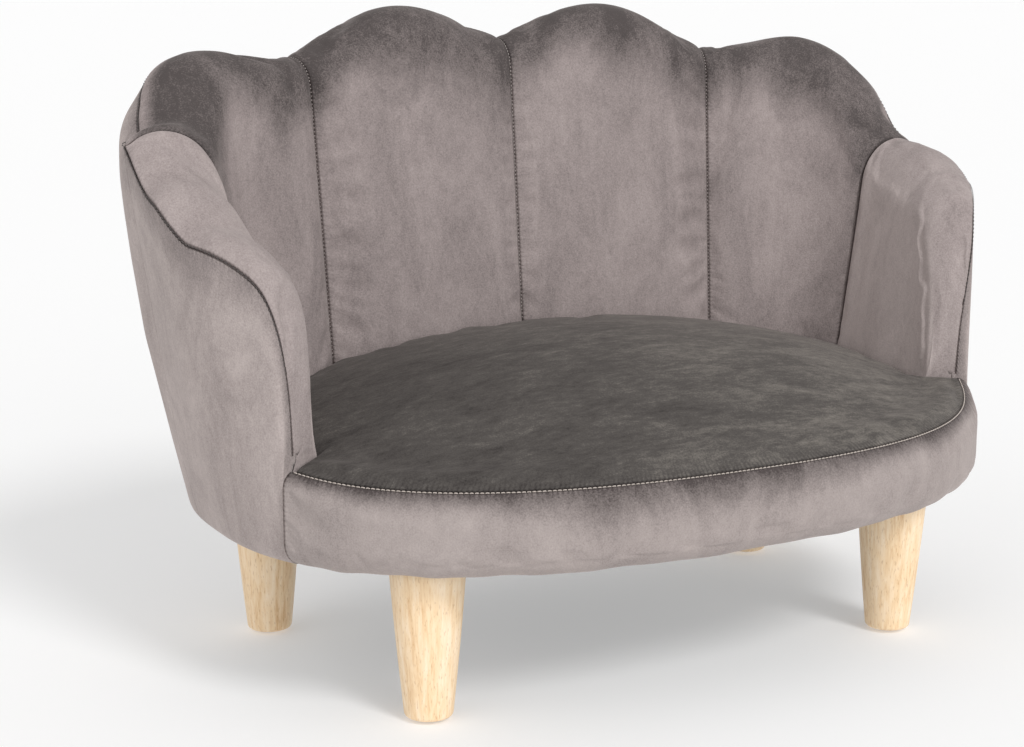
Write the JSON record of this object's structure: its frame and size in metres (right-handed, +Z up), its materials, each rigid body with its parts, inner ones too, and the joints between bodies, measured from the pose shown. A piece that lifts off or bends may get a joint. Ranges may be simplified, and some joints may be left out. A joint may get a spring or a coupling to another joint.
{
  "type": "pet sofa",
  "caption": "Small free-standing pet sofa: a crowned oval seat inside a padded shell with a scalloped rim and lower arms, on tapered round wooden legs.",
  "frame": {"origin": "on the floor, under the middle of the overall width and depth", "axes": "+X to the right across the width, -Y to the front where the seat is open, +Z up"},
  "size_m": [0.5926, 0.3406, 0.4051],
  "materials": {
    "velvet_inner": "short-pile taupe grey velvet",
    "velvet_outer": "short-pile taupe grey velvet",
    "velvet_seat": "short-pile taupe grey velvet, nap lying back",
    "velvet_band": "short-pile taupe grey velvet",
    "leg_wood": "clear matt lacquer on pale wood",
    "glide_felt": "dark grey moulded glide",
    "plated_steel": "zinc plated steel",
    "plywood": "bare plywood",
    "foam": "upholstery foam",
    "wadding": "polyester wadding",
    "dust_cloth": "black non-woven cloth"
  },
  "bodies": {
    "root": {"arm_cover_inner_left": "velvet_inner", "arm_cover_inner_right": "velvet_inner", "arm_cover_outer_left": "velvet_outer", "arm_cover_outer_right": "velvet_outer", "arm_nose_left": "foam", "arm_nose_right": "foam", "arm_pad_left": "foam", "arm_pad_right": "foam", "arm_panel_left": "plywood", "arm_panel_right": "plywood", "arm_wadding_left": "wadding", "arm_wadding_right": "wadding", "back_cover_inner_1": "velvet_inner", "back_cover_inner_2": "velvet_inner", "back_cover_inner_3": "velvet_inner", "back_cover_inner_4": "velvet_inner", "back_cover_outer": "velvet_outer", "back_pad_1": "foam", "back_pad_2": "foam", "back_pad_3": "foam", "back_pad_4": "foam", "back_panel": "plywood", "back_wadding": "wadding", "base_board": "plywood", "deck_screws": "plated_steel", "dust_cover": "dust_cloth", "front_band_cover": "velvet_band", "front_band_foam": "foam", "hanger_bolts": "plated_steel", "leg_front_left": "leg_wood", "leg_front_right": "leg_wood", "leg_glides": "glide_felt", "leg_rear_left": "leg_wood", "leg_rear_right": "leg_wood", "rail_front": "plywood", "rail_left": "plywood", "rail_rear": "plywood", "rail_right": "plywood", "seat_cover": "velvet_seat", "seat_deck": "plywood", "seat_foam": "foam", "tee_nuts": "plated_steel"}
  },
  "joints": []
}
